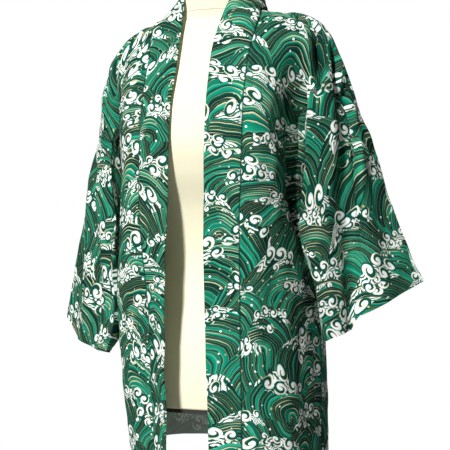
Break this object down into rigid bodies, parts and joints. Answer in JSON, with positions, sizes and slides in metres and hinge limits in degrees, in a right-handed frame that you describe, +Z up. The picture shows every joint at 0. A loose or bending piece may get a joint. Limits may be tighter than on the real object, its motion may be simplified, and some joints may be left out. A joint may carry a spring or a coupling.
{
  "type": "haori jacket on dress form",
  "caption": "Open-fronted haori jacket of wave-printed cotton with wide sleeves and a long neck band, worn by a limbless dress form on a round stand.",
  "frame": {"origin": "on the floor, at the middle of the stand's base", "axes": "+Z up; the form faces -Y; +X is towards the form's own left"},
  "size_m": [0.6204, 0.36, 1.5133],
  "materials": {
    "printed_cotton": "plain-woven printed cotton, matt, green and teal waves with white foam and gold lines",
    "jersey": "cream knitted cover, matt",
    "dark_trim": "dark, satin",
    "dark_steel": "dark grey, satin"
  },
  "bodies": {
    "root": {"front_left": "printed_cotton", "front_right": "printed_cotton", "back": "printed_cotton", "sleeve_left": "printed_cotton", "sleeve_right": "printed_cotton", "neck_band": "printed_cotton", "form_torso": "jersey", "form_neck_cap": "dark_trim", "form_base_plate": "dark_trim", "stand_socket": "dark_steel", "stand_pole": "dark_steel", "stand_base": "dark_steel"}
  },
  "joints": []
}
